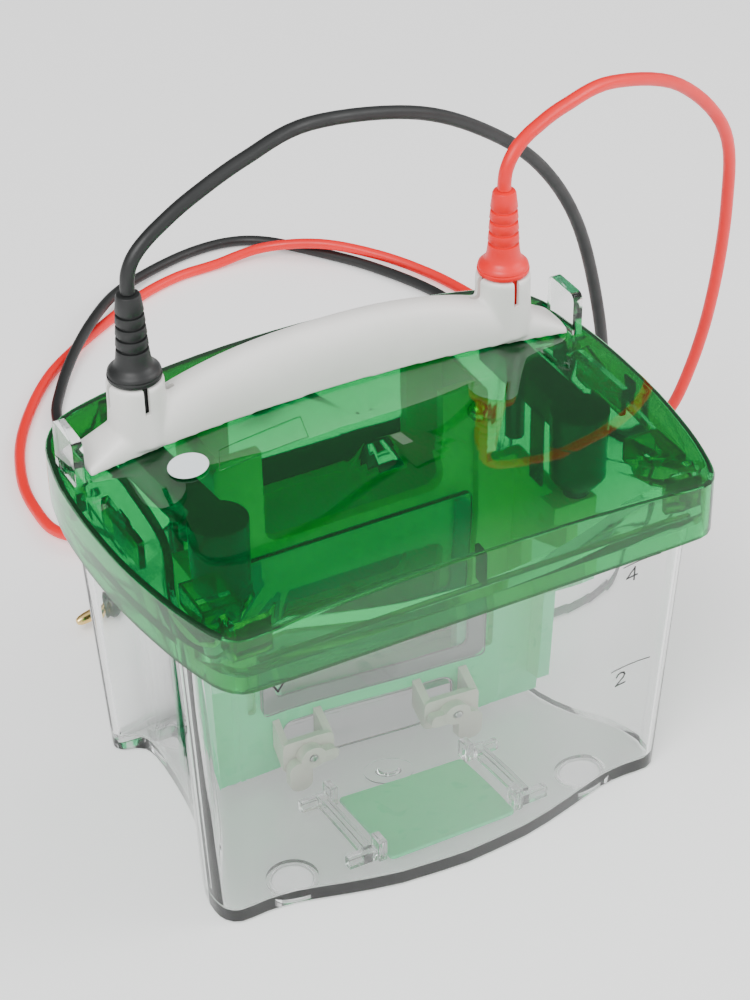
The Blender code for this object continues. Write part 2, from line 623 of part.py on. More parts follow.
def make_core_frame():
    """Green box frame with windows, slotted side panels and terminal seats; clear plate under its sill."""
    front, back = FRAME_FRONT_Y, FRAME_BACK_Y
    outline = rounded_rectangle(-POST_OUTER_X, POST_OUTER_X, FRAME_FOOT, FRAME_TOP, 4.0, 4)
    frame = add_part("core_frame", facing(outline, front, back), "core_green", (0.0, front, FRAME_FOOT))
    for name, side in (("left", -1), ("right", 1)):
        inner, outer = sorted((side * (POST_OUTER_X - 2.0), side * SIDE_PANEL_X))
        panel = block(inner, outer, front + 0.1, front + 4.1, FRAME_FOOT, SIDE_PANEL_TOP)
        combine(frame, "UNION", f"panel_{name}", panel)
    half, y0, y1 = POST_OUTER_X - 3.0, front + FRAME_THICK, back - FRAME_THICK
    combine(frame, "DIFFERENCE", "chamber", block(-half, half, y0, y1, SILL_TOP - 2.5, 160.0))
    combine(frame, "DIFFERENCE", "under_chamber", block(-half, half, y0, y1, -5.0, SILL_BOTTOM - 1.0))
    windows = (("top", BEAM_TOP, FRAME_TOP + 20.0), ("middle", SILL_TOP, BEAM_BOTTOM),
               ("bottom", -5.0, SILL_BOTTOM))
    for name, low, high in windows:
        window = rounded_rectangle(-POST_INNER_X, POST_INNER_X, low, high, 5.0, 4)
        combine(frame, "DIFFERENCE", f"{name}_window", facing(window, front - 5.0, back + 5.0))
    for name, side, (x, y) in (("left", -1, HOUSING_LEFT), ("right", 1, HOUSING_RIGHT)):
        centre = side * SLOT_X
        slot = rounded_rectangle(centre - SLOT_HALF, centre + SLOT_HALF, SILL_TOP + 3.0, 107.0, 1.3, 4)
        combine(frame, "DIFFERENCE", f"slot_{name}", facing(slot, front - 5.0, front + FRAME_THICK - 0.8))
        inner, outer = sorted((side * (SIDE_PANEL_X - 4.0), side * SIDE_PANEL_X))
        wing = ((front + 3.0, 20.0), (front + 3.0, SIDE_PANEL_TOP - 0.1), (y - 5.0, SIDE_PANEL_TOP - 0.1),
                (y - 5.0, 74.0), (front - 8.0, 60.0), (front - 8.0, 20.0))
        combine(frame, "UNION", f"wing_{name}", sideways(wing, inner, outer))
        inner, outer = sorted((side * (SIDE_PANEL_X - 9.0), x + side * 4.6))
        seat = block(inner, outer, y - 4.9, y + 4.5, 82.0, SIDE_PANEL_TOP)
        combine(frame, "UNION", f"terminal_seat_{name}", seat)
    half = POST_INNER_X - GAP
    plate = rounded_rectangle(-half, half, FRAME_FOOT, SILL_BOTTOM - GAP, 5.0, 4)
    add_part("clamp_plate", facing(plate, front + GAP, front + 3.0), "clear_plastic", (0.0, front, CAM_Z))


def make_cassette():
    """Front gasket and clear buffer dam; back gasket with a glass plate and its dark backing plate."""
    back = FRAME_BACK_Y + GAP
    front = FRAME_FRONT_Y - GAP
    opening = rounded_rectangle(-POST_INNER_X - 3.0, POST_INNER_X + 3.0, 44.0, 140.0, 3.0, 3)
    for name, y0, y1, foot in (("back", back, back + 1.8, PLATE_FOOT), ("front", front - 1.4, front, 38.0)):
        outline = rounded_rectangle(-39.5, 39.5, foot, SHORT_PLATE_TOP - 1.0, 3.0, 3)
        gasket = add_part(f"gasket_{name}", facing(outline, y0, y1), "grey_silicone", (0.0, y0, foot))
        combine(gasket, "DIFFERENCE", "opening", facing(opening, y0 - 3.0, y1 + 3.0))
    half = PLATE_HALF_X
    y = back + 1.8 + GAP
    short = rounded_rectangle(-half, half, PLATE_FOOT, SHORT_PLATE_TOP, 0.8, 2)
    add_part("short_glass_plate", facing(short, y, y + 1.6), "glass", (0.0, y, PLATE_FOOT))
    tall = rounded_rectangle(-half, half, PLATE_FOOT, TALL_PLATE_TOP, 0.8, 2)
    y += 1.6 + GAP
    shape = facing(tall, y + 1.0, y + 3.2)
    plate = add_part("backing_plate", shape, "dark_green_plastic", (0.0, y, PLATE_FOOT))
    for name, x in (("left", -half), ("right", half - 8.0)):
        spacer = block(x + 0.2, x + 7.8, y, y + 2.0, PLATE_FOOT + 0.2, TALL_PLATE_TOP - 0.2)
        combine(plate, "UNION", f"spacer_{name}", spacer)
    dam = rounded_rectangle(-39.5, 39.5, 38.0, SHORT_PLATE_TOP + 2.0, 2.0, 3)
    y = front - 1.4 - GAP
    add_part("buffer_dam", facing(dam, y - 2.0, y), "clear_plastic", (0.0, y, 38.0))


def make_electrodes():
    """Terminal posts under the cups, the wire terminal on the front and the two platinum wires."""
    for name, slot, (x, y) in (("black", "black_rubber", HOUSING_LEFT), ("red", "red_rubber", HOUSING_RIGHT)):
        seat = SIDE_PANEL_TOP + GAP
        collar = ((0.0, seat), (4.2, seat), (4.2, seat + 3.2), (0.0, seat + 3.2))
        add_part(f"{name}_terminal_cap", turned(collar, x, y, 20), slot, (x, y, seat))
        foot = seat + 3.2 + GAP
        post = ((0.0, foot), (2.2, foot), (2.5, foot + 8.0), (2.2, foot + 13.0), (1.2, foot + 14.5),
                (0.0, foot + 14.5))
        add_part(f"{name}_terminal_pin", turned(post, x, y, 16), "brass", (x, y, foot))
    stud = ((0.0, 0.0), (3.2, 0.0), (3.2, 2.4), (2.6, 3.8), (1.4, 4.8), (0.0, 5.2))
    place = (SLOT_X, FRAME_FRONT_Y - GAP, 114.0)
    add_part("wire_terminal", laid_along(turned(stud, 0, 0, 20), place, (0, -1, 0)), "brass", place)
    reach = POST_OUTER_X - 3.0 - GAP
    for name, y, z in (("upper", 27.0, 44.0), ("lower", 27.0, 20.0)):
        add_part(f"{name}_wire", rod(0.4, (-reach, y, z), (reach, y, z), 6), "platinum", (0.0, y, z))


def make_cams():
    """On each side: a U clip on the frame's sill, a pin, and the cam lever that turns on it."""
    back = FRAME_FRONT_Y - GAP
    front = CAM_FACE_Y + CAM_THICK + GAP
    for name, side in (("left", -1), ("right", 1)):
        x = side * CAM_X
        web = rounded_rectangle(x - 9.5, x + 9.5, CAM_Z - 6.5, CAM_Z + 6.5, 2.0, 3)
        clip = add_part(f"cam_clip_{name}", facing(web, front, front + 3.0), "cream_plastic",
                        (x, front, CAM_Z))
        for ear in (-1, 1):
            low, high = sorted((x + ear * 6.7, x + ear * 9.4))
            arm = ((front + 1.0, CAM_Z - 6.0), (back, CAM_Z + 1.0), (back, CAM_Z + 13.0),
                   (front + 1.0, CAM_Z + 6.0))
            combine(clip, "UNION", f"arm_{'low' if ear < 0 else 'high'}", sideways(arm, low, high))
        bore = rod(1.7, (x, front - 5.0, CAM_Z), (x, front + 9.0, CAM_Z), 16)
        combine(clip, "DIFFERENCE", "bore", bore)
        pin = rod(1.35, (x, CAM_FACE_Y - 0.6, CAM_Z), (x, front + 3.6, CAM_Z), 16)
        add_part(f"cam_pin_{name}", pin, "steel", (x, CAM_FACE_Y, CAM_Z))
        rear = CAM_FACE_Y + CAM_THICK
        hub = rod(4.6, (x, CAM_FACE_Y, CAM_Z), (x, rear, CAM_Z), 24)
        lever = add_part(f"cam_lever_{name}", hub, "cream_plastic", (x, CAM_FACE_Y, CAM_Z))
        low, high = sorted((x + side * 0.5, x + side * 8.8))
        lobe = rounded_rectangle(low, high, CAM_Z - 13.6, CAM_Z - 0.5, 3.6, 5)
        combine(lever, "UNION", "lobe", facing(lobe, CAM_FACE_Y + 0.1, rear - 0.1))
        low, high = sorted((x - side * 9.0, x - side * 1.0))
        ear = rounded_rectangle(low, high, CAM_Z - 3.4, CAM_Z + 1.8, 2.0, 4)
        combine(lever, "UNION", "ear", facing(ear, CAM_FACE_Y + 0.2, rear - 0.2))
        bore = rod(1.7, (x, CAM_FACE_Y - 5.0, CAM_Z), (x, rear + 5.0, CAM_Z), 16)
        combine(lever, "DIFFERENCE", "bore", bore)


def main():
    clear_scene()
    make_tank()
    make_feet()
    make_rails()
    make_lid()
    make_handle()
    make_contacts()
    make_label()
    make_lead("black", -SOCKET_X, "black_rubber", BLACK_ROUTE)
    make_lead("red", SOCKET_X, "red_rubber", RED_ROUTE)
    make_core_frame()
    make_cassette()
    make_electrodes()
    make_cams()


main()
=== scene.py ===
"""Looks of the mini vertical gel electrophoresis tank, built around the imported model.

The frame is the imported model's: X along the lid, Y to the back, Z up, table at z = 0. The object's sizes
and places are in millimetres and scaled by MM. The camera, the lamps, the floor and whatever goes straight
into a modifier, a material or a merge distance are in metres.
"""

import json
import math

import bmesh
import bpy
from mathutils import Matrix, Vector
from mathutils.bvhtree import BVHTree


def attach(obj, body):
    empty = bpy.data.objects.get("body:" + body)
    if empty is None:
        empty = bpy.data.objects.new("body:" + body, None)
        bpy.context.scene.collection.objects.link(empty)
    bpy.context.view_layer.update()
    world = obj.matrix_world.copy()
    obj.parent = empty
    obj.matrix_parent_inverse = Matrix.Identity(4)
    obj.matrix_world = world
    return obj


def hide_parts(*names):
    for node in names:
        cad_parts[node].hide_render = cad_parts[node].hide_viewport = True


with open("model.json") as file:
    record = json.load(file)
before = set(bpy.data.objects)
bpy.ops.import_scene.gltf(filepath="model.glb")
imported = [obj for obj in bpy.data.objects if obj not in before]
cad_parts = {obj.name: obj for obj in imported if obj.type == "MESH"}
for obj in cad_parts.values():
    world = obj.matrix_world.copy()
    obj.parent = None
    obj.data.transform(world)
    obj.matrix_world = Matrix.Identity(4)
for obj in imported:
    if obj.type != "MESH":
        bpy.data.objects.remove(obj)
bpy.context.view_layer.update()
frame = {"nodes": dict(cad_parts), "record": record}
MM = 0.001
NODES = frame["nodes"]
BODY_OF = {node: body for body, members in frame["record"]["behaviour"]["bodies"].items() for node in members}
SLOT_OF = {row["node"]: row["material_slot"] for row in frame["record"]["subparts"]}

# Millimetres
LID_HALF_X = 91.5
LID_HALF_Y = 67.5
LID_END_HEIGHT = 123.3
POCKET_FLOOR = 114.0
POCKET_TOP = 121.5
HANDLE_Y = 31.0
HANDLE_HALF_Y = 8.2
HANDLE_CROWN = 150.4
SOCKET_X = 62.4
SOCKET_TOP = 149.4
SOCKET_SLOT_FLOOR = 140.9
ABOVE_SOCKET = 160.0
LEAD_EXIT = 178.3
CORD_RADIUS = 2.2

# Metres
PLAIN_BEVEL = 0.0003

# Degrees: edges sharper than this stay crisp
NEW_PIECE_ANGLE = 35.0
PACKED_NODE_ANGLE = 32.0
HANDLE_ANGLE = 50


def new_object(name, data):
    """An object in the scene that shows this data."""
    obj = bpy.data.objects.new(name, data)
    bpy.context.scene.collection.objects.link(obj)
    return obj


# ---------------------------------------------------------------- camera and light


def set_camera():
    """Portrait view from the front left, a little above."""
    forward = Vector((0.3731, 0.7229, -0.5816)).normalized()
    up = Vector((0.2830, 0.5083, 0.8134))
    right = forward.cross(up).normalized()
    up = right.cross(forward)
    data = bpy.data.cameras.new("camera")
    data.sensor_width = 36.0
    data.lens = 91.2
    data.clip_start = 0.01
    camera = new_object("camera", data)
    turn = Matrix((right, up, -forward)).transposed()
    camera.matrix_world = Matrix.Translation((-0.2873, -0.5568, 0.5508)) @ turn.to_4x4()
    bpy.context.scene.camera = camera


def add_area(name, place, target, size, watts):
    """A soft rectangular lamp at place, aimed at target."""
    data = bpy.data.lights.new(name, "AREA")
    data.shape = "RECTANGLE"
    data.size, data.size_y = size
    data.energy = watts
    lamp = new_object(name, data)
    lamp.location = place
    aim = Vector(target) - Vector(place)
    lamp.rotation_euler = aim.to_track_quat("-Z", "Y").to_euler()


def set_light():
    """White studio with a grey wall behind the object, and two soft lamps in front."""
    world = bpy.data.worlds.new("studio")
    world.use_nodes = True
    tree = world.node_tree
    where = tree.nodes.new("ShaderNodeTexCoord")
    parts = tree.nodes.new("ShaderNodeSeparateXYZ")
    tree.links.new(where.outputs["Generated"], parts.inputs["Vector"])
    wall = tree.nodes.new("ShaderNodeValToRGB")
    wall.color_ramp.elements[0].position = 0.25
    wall.color_ramp.elements[0].color = (1.0, 1.0, 1.0, 1.0)
    wall.color_ramp.elements[1].position = 0.60
    wall.color_ramp.elements[1].color = (0.22, 0.22, 0.22, 1.0)
    tree.links.new(parts.outputs["Y"], wall.inputs["Fac"])
    tree.links.new(wall.outputs["Color"], tree.nodes["Background"].inputs["Color"])
    tree.nodes["Background"].inputs["Strength"].default_value = 1.15
    bpy.context.scene.world = world
    add_area("key", (-0.9, -0.7, 1.5), (0, 0, 0.08), (0.9, 0.9), 26.0)
    add_area("fill", (1.2, -0.6, 1.0), (0, 0, 0.1), (0.8, 0.8), 10.0)


# ---------------------------------------------------------------- materials


class Nodes:
    """Short names for building one material's node tree."""

    def __init__(self, name, colour, roughness):
        self.material = bpy.data.materials.new(name)
        self.material.use_nodes = True
        self.tree = self.material.node_tree
        self.shader = self.tree.nodes["Principled BSDF"]
        self.shader.inputs["Base Color"].default_value = (*colour, 1.0)
        self.shader.inputs["Roughness"].default_value = roughness
        self.place = self.tree.nodes.new("ShaderNodeTexCoord").outputs["Object"]

    def link(self, out, to):
        self.tree.links.new(out, to)

    def noise(self, scale, detail, stretch=(1.0, 1.0, 1.0)):
        mapping = self.tree.nodes.new("ShaderNodeMapping")
        mapping.inputs["Scale"].default_value = stretch
        self.link(self.place, mapping.inputs["Vector"])
        node = self.tree.nodes.new("ShaderNodeTexNoise")
        node.inputs["Scale"].default_value = scale
        node.inputs["Detail"].default_value = detail
        node.inputs["Roughness"].default_value = 0.55
        self.link(mapping.outputs["Vector"], node.inputs["Vector"])
        return node.outputs["Fac"]

    def mottle(self, source, dark, light, low=0.30, high=0.70):
        """Base colour that goes from dark at low to light at high."""
        node = self.tree.nodes.new("ShaderNodeValToRGB")
        for element, place, colour in zip(node.color_ramp.elements, (low, high), (dark, light)):
            element.position = place
            element.color = (*colour, 1.0)
        self.link(source, node.inputs["Fac"])
        self.link(node.outputs["Color"], self.shader.inputs["Base Color"])

    def gloss(self, source, low, high):
        """Roughness that goes from low to high."""
        node = self.tree.nodes.new("ShaderNodeMapRange")
        node.inputs["From Min"].default_value = 0.3
        node.inputs["From Max"].default_value = 0.7
        node.inputs["To Min"].default_value = low
        node.inputs["To Max"].default_value = high
        self.link(source, node.inputs["Value"])
        self.link(node.outputs["Result"], self.shader.inputs["Roughness"])

    def bump(self, source, strength, distance):
        node = self.tree.nodes.new("ShaderNodeBump")
        node.inputs["Strength"].default_value = strength
        node.inputs["Distance"].default_value = distance
        self.link(source, node.inputs["Height"])
        self.link(node.outputs["Normal"], self.shader.inputs["Normal"])


def plastic(name, light, dark, roughness, grain=900.0):
    """Moulded plastic or rubber: slight mottling, uneven gloss and a fine grain."""
    made = Nodes(name, light, roughness)
    made.mottle(made.noise(38.0, 3.0), dark, light)
    made.gloss(made.noise(120.0, 5.0), roughness - 0.06, roughness + 0.08)
    made.bump(made.noise(grain, 3.0), 0.35, 0.00006)
    return made.material


def clear(name, light, dark, roughness, passing, ior=1.49):
    """See-through moulded plastic or glass, with a faint ripple and haze."""
    made = Nodes(name, light, roughness)
    made.shader.inputs["Transmission Weight"].default_value = passing
    made.shader.inputs["IOR"].default_value = ior
    made.mottle(made.noise(14.0, 2.0), dark, light)
    made.gloss(made.noise(60.0, 4.0), roughness * 0.6, roughness * 1.5)
    made.bump(made.noise(26.0, 2.0), 0.25, 0.00003)
    return made.material


def metal(name, light, dark, roughness, stretch=(1.0, 1.0, 1.0)):
    """Bright metal with fine brushing and dulling."""
    made = Nodes(name, light, roughness)
    made.shader.inputs["Metallic"].default_value = 1.0
    made.mottle(made.noise(240.0, 4.0, stretch), dark, light, 0.25, 0.75)
    made.gloss(made.noise(500.0, 4.0, stretch), roughness * 0.7, roughness * 1.5)
    made.bump(made.noise(1400.0, 2.0, stretch), 0.3, 0.00002)
    return made.material


LOOKS = {
    "clear_plastic": clear("clear_plastic_look", (0.985, 0.992, 0.99), (0.965, 0.975, 0.972), 0.02, 1.0),
    "green_plastic": clear("green_plastic_look", (0.001, 0.46, 0.105), (0.0, 0.41, 0.090), 0.03, 0.96),
    "dark_green_plastic": clear("dark_green_look", (0.002, 0.045, 0.022), (0.001, 0.025, 0.012), 0.10, 0.5),
    "core_green": plastic("core_green_look", (0.05, 0.95, 0.38), (0.03, 0.88, 0.33), 0.30),
    "white_plastic": plastic("white_plastic_look", (0.86, 0.85, 0.82), (0.80, 0.79, 0.76), 0.38),
    "cream_plastic": plastic("cream_plastic_look", (0.82, 0.80, 0.71), (0.74, 0.72, 0.62), 0.42),
    "grey_silicone": plastic("grey_silicone_look", (0.33, 0.38, 0.35), (0.25, 0.30, 0.27), 0.62),
    "black_rubber": plastic("black_rubber_look", (0.011, 0.012, 0.012), (0.006, 0.007, 0.007), 0.46, 1600.0),
    "red_rubber": plastic("red_rubber_look", (0.92, 0.001, 0.004), (0.82, 0.001, 0.003), 0.38, 1600.0),
    "brass": metal("gold_look", (0.90, 0.66, 0.28), (0.74, 0.50, 0.18), 0.22),
    "platinum": metal("platinum_look", (0.80, 0.79, 0.77), (0.62, 0.61, 0.60), 0.22, (0.2, 3.0, 3.0)),
    "steel": metal("steel_look", (0.66, 0.66, 0.65), (0.48, 0.48, 0.48), 0.28, (3.0, 0.4, 0.4)),
    "glass": clear("glass_look", (0.93, 0.985, 0.965), (0.90, 0.97, 0.95), 0.01, 1.0, 1.52),
    "label_white": plastic("label_look", (0.78, 0.83, 0.86), (0.72, 0.77, 0.80), 0.55),
}


# ---------------------------------------------------------------- mesh helpers


def finish_piece(obj, slot, body, nodes=(), look=None):
    """Gives a new piece its material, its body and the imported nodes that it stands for."""
    obj.data.materials.clear()
    obj.data.materials.append(look or LOOKS[slot])
    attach(obj, body)
    if nodes:
        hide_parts(*nodes)
    return obj


def shade(mesh, angle):
    """Smooth shading, with edges sharper than angle in degrees kept crisp."""
    mesh.shade_smooth()
    mesh.set_sharp_from_angle(angle=math.radians(angle))


def soften(obj, width):
    """Rounds the object's edges with a small bevel, width in metres."""
    edges = obj.modifiers.new("soft_edges", "BEVEL")
    edges.width = width
    edges.segments = 2
    return edges


def add_mesh(name, points, faces):
    """A named mesh object from points and faces in metres."""
    mesh = bpy.data.meshes.new(name)
    mesh.from_pydata([tuple(p) for p in points], [], faces)
    work = bmesh.new()
    work.from_mesh(mesh)
    bmesh.ops.remove_doubles(work, verts=work.verts, dist=1e-7)
    bmesh.ops.recalc_face_normals(work, faces=work.faces)
    work.to_mesh(mesh)
    work.free()
    shade(mesh, NEW_PIECE_ANGLE)
    return new_object(name, mesh)


def turned(name, profile, place, steps=48, axis=(0, 0, 1)):
    """A solid of revolution in millimetres, from (radius, height) pairs, about the axis through place."""
    turn = Vector((0, 0, 1)).rotation_difference(Vector(axis))
    points, faces = [], []
    count = len(profile)
    for i in range(steps):
        angle = 2 * math.pi * i / steps
        for radius, height in profile:
            local = Vector((radius * math.cos(angle), radius * math.sin(angle), height))
            points.append((turn @ local + Vector(place)) * MM)
    for i in range(steps):
        j = (i + 1) % steps
        for k in range(count - 1):
            faces.append((i * count + k, j * count + k, j * count + k + 1, i * count + k + 1))
    return add_mesh(name, points, faces)


def ring_outline(inset):
    """The lid's outline in millimetres, from its front right corner round the back to its front left."""
    half = [(x, y) for x, y in LID_HALF if y > -64.0]
    loop = [*half, *[(-x, y) for x, y in reversed(half[:-1])]]
    result = []
    for i, (x, y) in enumerate(loop):
        ax, ay = loop[max(i - 1, 0)]
        bx, by = loop[min(i + 1, len(loop) - 1)]
        length = math.hypot(bx - ax, by - ay)
        result.append((x - inset * (by - ay) / length, y + inset * (bx - ax) / length))
    return result


def lid_height(x, y):
    """The height of the lid's top surface, in millimetres."""
    along = 1 - (x / LID_HALF_X) ** 2
    across = 1 - (y / LID_HALF_Y) ** 2
    return LID_END_HEIGHT + 4.4 * along + 3.3 * along * across


def tube(name, points, radius, resolution=3):
    """A round bar along points in millimetres."""
    curve = bpy.data.curves.new(name, "CURVE")
    curve.dimensions = "3D"
    curve.bevel_depth = radius * MM
    curve.bevel_resolution = resolution
    curve.use_fill_caps = True
    spline = curve.splines.new("POLY")
    spline.points.add(len(points) - 1)
    for target, point in zip(spline.points, points):
        target.co = (*(Vector(point) * MM), 1.0)
    spline.use_smooth = True
    return new_object(name, curve)


def boxes(name, spans, bevel=0.2):
    """One piece made of softened blocks, each (x0, x1, y0, y1, z0, z1) in millimetres."""
    points, faces = [], []
    for x0, x1, y0, y1, z0, z1 in spans:
        base = len(points)
        corners = ((x0, y0), (x1, y0), (x1, y1), (x0, y1))
        points += [Vector((x, y, z)) * MM for z in (z0, z1) for x, y in corners]
        faces += [tuple(base + i for i in face) for face in
                  ((3, 2, 1, 0), (4, 5, 6, 7), (0, 1, 5, 4), (1, 2, 6, 5), (2, 3, 7, 6), (3, 0, 4, 7))]
    obj = add_mesh(name, points, faces)
    soften(obj, bevel * MM)
    return obj


def on_front(x, z):
    """The point on the tank's front face at x and z, a hair proud of it, in millimetres."""
    hit = FRONT.ray_cast(Vector((x, -200.0, z)) * MM, Vector((0, 1, 0)))[0]
    return Vector((x, hit.y / MM - 0.08, z))


def printed(name, strokes, width):
    """Printed line work on the tank's front: each stroke is a list of (x, z) in millimetres."""
    points, faces = [], []
    for stroke in strokes:
        for (ax, az), (bx, bz) in zip(stroke, stroke[1:]):
            length = math.hypot(bx - ax, bz - az)
            sx, sz = -(bz - az) / length * width / 2, (bx - ax) / length * width / 2
            ex, ez = (bx - ax) / length * width / 2, (bz - az) / length * width / 2
            steps = max(1, round(length / 1.5))
            base = len(points)
            for i in range(steps + 1):
                t = i / steps
                x = ax - ex + (bx - ax + 2 * ex) * t
                z = az - ez + (bz - az + 2 * ez) * t
                points += [on_front(x + sx, z + sz) * MM, on_front(x - sx, z - sz) * MM]
            for i in range(steps):
                k = base + 2 * i
                faces.append((k, k + 1, k + 3, k + 2))
    return add_mesh(name, points, faces)


def refine(node, bevel):
    """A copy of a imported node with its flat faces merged, its edges softened and its round faces smooth."""
    mesh = NODES[node].data.copy()
    work = bmesh.new()
    work.from_mesh(mesh)
    bmesh.ops.remove_doubles(work, verts=work.verts, dist=2e-6)
    bmesh.ops.dissolve_limit(work, angle_limit=math.radians(0.4), verts=work.verts, edges=work.edges)
    bmesh.ops.recalc_face_normals(work, faces=work.faces)
    work.to_mesh(mesh)
    work.free()
    obj = new_object(f"{node}_fine", mesh)
    shade(mesh, PACKED_NODE_ANGLE)
    if bevel:
        edges = soften(obj, bevel)
        edges.limit_method = "ANGLE"
        edges.angle_limit = math.radians(PACKED_NODE_ANGLE)
    return finish_piece(obj, SLOT_OF[node], BODY_OF[node], (node,))


# ---------------------------------------------------------------- lid details

# Right half of the lid's outline, from the middle of the front to the middle of the back
LID_HALF = (
    (0.0, -67.5), (28.0, -67.5), (52.0, -67.5), (69.0, -67.5), (76.0, -66.6), (80.4, -62.2),
    (82.9, -56.0), (85.9, -45.0), (88.2, -33.0), (90.3, -18.0), (91.3, -2.0), (91.5, 12.0),
    (90.9, 26.0), (89.2, 37.0), (87.2, 46.0), (83.2, 53.4), (77.0, 58.6), (68.0, 61.4), (56.0, 63.6),
    (38.0, 65.7), (18.0, 67.1), (0.0, 67.5),
)


def make_lid_details():
    """A dark tube in the lid's edge as painted shade for the wall seen edge-on, its inner ledge, pockets and
    blades, and the blank panel's outline.
    """
    # Painted shade: a near-black tube just inside the lid's top edge stands in for the dark line that the
    # thick green wall shows when seen edge-on.
    line = [(x, y, lid_height(x, y) - 1.5) for x, y in ring_outline(1.45)]
    edge = tube("lid_edge_painted_shade_line", smooth_route(line, 4), 0.62)
    finish_piece(edge, "dark_green_plastic", "lid", look=PAINTED_EDGE_SHADE_LOOK)

    spans = [(-70.0, 70.0, -64.9, -63.4, 113.6, 114.5)]
    finish_piece(boxes("lid_front_ledge", spans), "green_plastic", "lid")
    for side, name in ((-1, "left"), (1, "right")):
        x0, x1 = sorted((side * 67.0, side * 79.0))
        walls = [(*span, POCKET_FLOOR, POCKET_TOP) for span in (
            (x0, x1, -49.0, -48.0), (x0, x1, -34.0, -33.0),
            (x0, x0 + 1.0, -48.1, -33.9), (x1 - 1.0, x1, -48.1, -33.9))]
        walls.append((x0 + 0.9, x1 - 0.9, -41.8, -41.0, POCKET_FLOOR, 118.5))
        finish_piece(boxes(f"lid_pocket_{name}", walls), "green_plastic", "lid")
    blades = [(49.6, 50.6, -15.0, -8.0, 99.0, 124.0), (86.0, 86.9, -9.0, -3.0, 114.0, 121.6),
              (0.0, 1.4, -64.8, -60.5, 113.7, 124.6), (79.0, 80.0, 20.0, 27.0, 114.0, 122.0),
              (-80.0, -79.0, 0.0, 7.0, 114.0, 122.0)]
    finish_piece(boxes("lid_blades", blades), "dark_green_plastic", "lid")

    corners = ((-45.1, 12.2), (-17.1, 14.6), (-19.8, 3.6), (-49.3, 2.6), (-45.1, 12.2))
    outline = []
    for (ax, ay), (bx, by) in zip(corners, corners[1:]):
        for i in range(12):
            x, y = ax + (bx - ax) * i / 12, ay + (by - ay) * i / 12
            outline.append((x, y, lid_height(x, y) + 0.02))
    outline.append(outline[0])
    finish_piece(tube("lid_panel_outline", outline, 0.12, 1), "green_plastic", "lid")


def handle_ring(x, steps=26):
    """The bar's section at x, in millimetres: it sits on the lid and rises to a rounded ridge."""
    ridge = HANDLE_CROWN - 24.6 * abs(x / 84.8) ** 2.4
    section = []
    for i in range(steps + 1):
        angle = math.pi * i / steps
        y = HANDLE_Y - HANDLE_HALF_Y * math.copysign(abs(math.cos(angle)) ** 0.8, math.cos(angle))
        rise = max(ridge - lid_height(x, HANDLE_Y) - 0.3, 1.2) - 0.9
        section.append(Vector((x, y, lid_height(x, y) + 1.2 + rise * max(math.sin(angle), 0.0) ** 0.8)) * MM)
    for across in (HANDLE_HALF_Y, 4.0, 0.0, -4.0, -HANDLE_HALF_Y):
        y = HANDLE_Y + across
        section.append(Vector((x, y, lid_height(x, y) + 0.3)) * MM)
    return section


def cut(obj, operation, cutter):
    """Applies a Boolean with a helper object, and removes the helper."""
    modifier = obj.modifiers.new("cut", "BOOLEAN")
    modifier.operation = operation
    modifier.solver = "EXACT"
    modifier.object = cutter
    apply_all(obj)
    bpy.data.objects.remove(cutter)


def apply_all(obj):
    """Makes the object's modifiers part of its mesh."""
    graph = bpy.context.evaluated_depsgraph_get()
    made = bpy.data.meshes.new_from_object(obj.evaluated_get(graph))
    obj.modifiers.clear()
    obj.data = made


def make_handle():
    """The white arched bar, blended into its two slotted sockets."""
    stations = 64
    rings = [handle_ring(81.8 * math.sin(math.pi * (i / stations - 0.5))) for i in range(stations + 1)]
    count = len(rings[0])
    points = [p for ring in rings for p in ring]
    faces = [tuple(range(count)), tuple(reversed(range(len(points) - count, len(points))))]
    for k in range(stations):
        for i in range(count):
            j = (i + 1) % count
            faces.append((k * count + i, (k + 1) * count + i, (k + 1) * count + j, k * count + j))
    handle = add_mesh("handle_fine", points, faces)
    seat = lid_height(SOCKET_X, HANDLE_Y) + 2.0
    for x in (-SOCKET_X, SOCKET_X):
        collar = ((0.0, seat), (9.6, seat), (9.1, seat + 6.0), (8.75, seat + 12.0), (8.7, 148.9),
                  (8.3, SOCKET_TOP), (0.0, SOCKET_TOP))
        cut(handle, "UNION", turned("collar", collar, (x, HANDLE_Y, 0), 64))
    blend = handle.modifiers.new("blend", "REMESH")
    blend.mode = "VOXEL"
    blend.voxel_size = 0.0006
    ease = handle.modifiers.new("ease", "SMOOTH")
    ease.factor = 0.5
    ease.iterations = 9
    apply_all(handle)
    for x in (-SOCKET_X, SOCKET_X):
        bore = ((0.0, 120.0), (4.4, 120.0), (4.4, 130.0), (7.1, 130.0), (7.1, ABOVE_SOCKET),
                (0.0, ABOVE_SOCKET))
        cut(handle, "DIFFERENCE", turned("bore", bore, (x, HANDLE_Y, 0), 48))
        for reach_x, reach_y in ((12, 0.9), (0.9, 12)):
            slot = (x - reach_x, x + reach_x, HANDLE_Y - reach_y, HANDLE_Y + reach_y,
                    SOCKET_SLOT_FLOOR, ABOVE_SOCKET)
            cut(handle, "DIFFERENCE", boxes("slot", [slot], 0.05))
    shade(handle.data, HANDLE_ANGLE)
    finish_piece(handle, "white_plastic", "lid", ("handle",))


